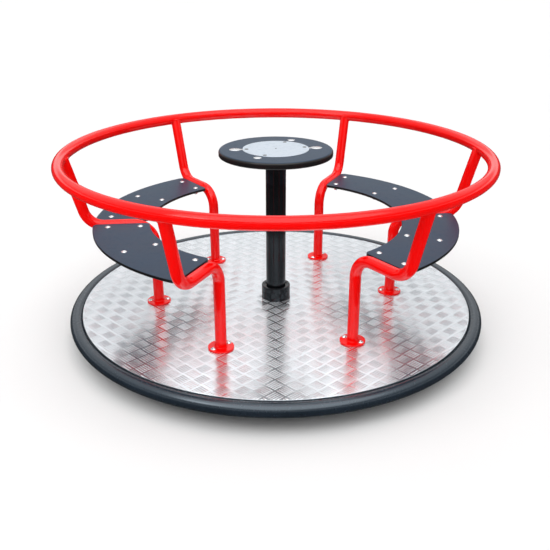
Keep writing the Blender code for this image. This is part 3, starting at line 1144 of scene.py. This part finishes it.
def make_table():
    """The board with its recess, and the plate in it."""
    recess_radius = TABLE_PLATE_RADIUS + TABLE_RECESS_GAP
    recess_floor = TABLE_PLATE_UNDERSIDE - TABLE_RECESS_DROP
    top_round = (TABLE_RADIUS - TABLE_TOP_ROUND, TABLE_TOP - TABLE_TOP_ROUND)
    under_round = (TABLE_RADIUS - TABLE_UNDER_ROUND, TABLE_UNDERSIDE + TABLE_UNDER_ROUND)
    outline = [
        (0, recess_floor),
        (recess_radius, recess_floor),
        (recess_radius, TABLE_TOP - TABLE_RECESS_EDGE),
        (recess_radius + TABLE_RECESS_EDGE, TABLE_TOP),
    ]
    outline += arc(top_round, TABLE_TOP_ROUND, QUARTER, -QUARTER, 10)
    outline += arc(under_round, TABLE_UNDER_ROUND, 0, -QUARTER, 6)
    outline.append((0, TABLE_UNDERSIDE))
    table = spun("table_top", outline, FINE)
    dress(table, BOARD, "base", "anthracite_board", "table")
    blacken(table, lambda face: face.center.z < TABLE_TOP - TABLE_FACE_DEPTH)
    low, high = TABLE_PLATE_UNDERSIDE, TABLE_PLATE_TOP
    plate_outline = round_disc(TABLE_PLATE_RADIUS, low, high, *TABLE_PLATE_ROUNDS)
    plate = spun("table_inset", plate_outline, FINE)
    dress(plate, TABLE_METAL, "base", "brushed_aluminium", "table_plate")


def tongue(side):
    """A short strip from over the inset plate's edge to a large bolt."""
    clear_selection()
    middle = TABLE_TOP + TONGUE_THICKNESS / 2
    bpy.ops.mesh.primitive_cube_add(
        size=1, location=(side * (TONGUE_START + TONGUE_END) / 2, 0, middle),
        scale=(TONGUE_END - TONGUE_START, TONGUE_WIDTH, TONGUE_THICKNESS),
    )
    strip = settle(named("table_tongue"))
    pick(strip, "EDGE", lambda first, second: min(first.z, second.z) > middle)
    bpy.ops.mesh.bevel(offset=TONGUE_EDGE, segments=2, affect="EDGES")
    return round_shading(close_up(strip))


def countersunk_screw(centre):
    """A dark countersunk screw: a shallow dish round a flat head with a rounded edge."""
    outline = [(distance, TABLE_PLATE_TOP + height) for distance, height in SCREW_OUTLINE]
    return spun("table_screw", outline, 24, centre)


def make_table_fixings():
    """The tongues and bolts of the table, and the screws in its plate."""
    parts = [tongue(side) for side in (1, -1)]
    for degrees, radius in TABLE_BOLTS.items():
        centre = around(TABLE_BOLT_REACH, math.radians(degrees))
        head_floor = TABLE_TOP - SINK
        parts.append(domed_head("table_bolt", centre, head_floor, radius, TABLE_BOLT_HEIGHT, 36))
        parts += washer_and_nut("table", centre, TABLE_SUPPORT_FLOOR)
    dress(merged("table_bolts", parts), BOLT_METAL, "base", "galvanised_steel")
    size = (MIDDLE_SCREW_HEAD, MIDDLE_SCREW_HEIGHT)
    screws = [domed_head("table_screw", (0, 0), TABLE_PLATE_TOP - SINK, *size, 16)]
    for degrees in TABLE_SCREWS:
        screws.append(countersunk_screw(around(TABLE_SCREW_REACH, math.radians(degrees))))
    dress(merged("table_screws", screws), DARK_METAL, "base", "galvanised_steel")


def dress_frame_nodes():
    """Hidden steelwork keeps its CAD shapes and gets its finish."""
    for name, node in frame["nodes"].items():
        if not node.hide_render:
            node.data.materials.clear()
            node.data.materials.append(BRONZE if name.startswith("bearing_") else ZINC)


# Light

# How brightly each part of the sky shines, which way it lies and between which two values its
# edge fades. The values are degrees from its middle for the back and the box, and heights on a
# sphere of radius one for the dome and the low band.
SKY_SHINE = 0.07
DOME_SHINE = 0.83
DOME_AIM = (0.0, 0.15, 1.0)
DOME_EDGE = (0.28, 0.62)
BACK_SHINE = 0.55
BACK_AIM = (0.072, 0.716, 0.695)
BACK_EDGE = (24, 8)
BOX_SHINE = 1.75
BOX_LIFT = math.radians(65)
BOX_EDGE = (41, 35)
BAND_SHINE = 0.9
BAND_LOWER_EDGE = (0.08, 0.14)
BAND_UPPER_EDGE = (0.24, 0.30)

# Floor and wall
FLOOR_SIZE = 240
FLOOR_GREYS = ((0.70, 0.70, 0.70), (0.73, 0.73, 0.73))
WALL_RADIUS = 110.0
WALL_HEIGHT = 70.0
WALL_GLOW = 0.5


def make_sky():
    """Soft studio light: a dome brighter at the back, a box above the front and a low band."""
    world = bpy.data.worlds.new("studio")
    world.use_nodes = True
    bpy.context.scene.world = world
    sky = Nodes(world.node_tree)
    way = sky.node("ShaderNodeTexCoord", {}, {}, "Generated")

    def near(aim, edge):
        return sky.along(way, aim).above(*(math.cos(math.radians(angle)) for angle in edge))

    dome = sky.along(way, DOME_AIM).above(*DOME_EDGE)
    back = near(BACK_AIM, BACK_EDGE)
    box = near((0.0, -math.cos(BOX_LIFT), math.sin(BOX_LIFT)), BOX_EDGE)
    height = sky.along(way, (0.0, 0.0, 1.0))
    band = height.above(*BAND_LOWER_EDGE) * (1 - height.above(*BAND_UPPER_EDGE))
    shine = SKY_SHINE + dome * (DOME_SHINE + back * BACK_SHINE) + box * BOX_SHINE
    background = world.node_tree.nodes["Background"]
    sky.feed(background.inputs["Strength"], shine + band * BAND_SHINE)
    background.inputs["Color"].default_value = (1.0, 1.0, 1.0, 1)
    bpy.context.scene.view_settings.view_transform = "Standard"


def soft_light(name, place, aim, size, watts):
    """A flat light at a place, turned to an aim."""
    light = bpy.data.lights.new(name, "AREA")
    light.shape = "RECTANGLE"
    light.size, light.size_y = size
    light.energy = watts
    holder = bpy.data.objects.new(name, light)
    holder.location = place
    holder.rotation_euler = (Vector(aim) - Vector(place)).to_track_quat("-Z", "Y").to_euler()
    bpy.context.scene.collection.objects.link(holder)


def studio_grey(name, **constants):
    """The plain pale grey of the floor and the wall."""
    finish = Finish(name, roughness=0.9, specular_ior_level=0.0, **constants)
    finish.show(base_color=finish.blend(finish.speckle(0.8), *FLOOR_GREYS))
    return finish.material


def make_floor():
    """A pale floor and a far glowing wall round it, both out of sight for reflections."""
    clear_selection()
    bpy.ops.mesh.primitive_plane_add(size=FLOOR_SIZE, location=(0, 0, 0))
    floor = named("studio_floor")
    floor.data.materials.append(studio_grey("studio_floor"))
    floor.visible_glossy = False
    wall = spun("studio_wall", [(WALL_RADIUS, 0), (WALL_RADIUS, WALL_HEIGHT)], SMOOTH)
    wall.data.materials.append(studio_grey("studio_wall", emission_strength=WALL_GLOW))
    wall.visible_glossy = False
    wall.visible_diffuse = False
    wall.visible_shadow = False


def make_studio():
    make_sky()
    soft_light("front_left", place=(-2.6, -2.4, 3.0), aim=(0, 0, 0.3), size=(1.2, 1.2), watts=18)
    make_floor()


# The photograph's camera

# PICTURE, FOCAL and MIDDLE_X are the picture's width, the focal length and the middle of the
# view across the picture, in pixels. SENSOR is in millimetres.
PICTURE = 550
FOCAL = 724.79
MIDDLE_X = 275.86
SENSOR = 36.0
CAMERA_DISTANCE = 2.6258
CAMERA_HEIGHT = 1.3339
CAMERA_TURN = math.radians(5.74)
CAMERA_DOWN = math.radians(23.441)


def make_camera():
    camera = bpy.data.cameras.new("camera")
    camera.sensor_width = SENSOR
    camera.lens = FOCAL / PICTURE * SENSOR
    camera.shift_x = -(MIDDLE_X - PICTURE / 2) / PICTURE
    holder = bpy.data.objects.new("camera", camera)
    holder.location = (
        -CAMERA_DISTANCE * math.sin(CAMERA_TURN),
        -CAMERA_DISTANCE * math.cos(CAMERA_TURN),
        CAMERA_HEIGHT,
    )
    holder.rotation_euler = (QUARTER - CAMERA_DOWN, 0, -CAMERA_TURN)
    bpy.context.scene.collection.objects.link(holder)
    bpy.context.scene.camera = holder


make_camera()
make_studio()
make_deck()
make_rim()
make_posts()
make_seats()
make_collar()
make_column()
make_table()
make_table_fixings()
dress_frame_nodes()
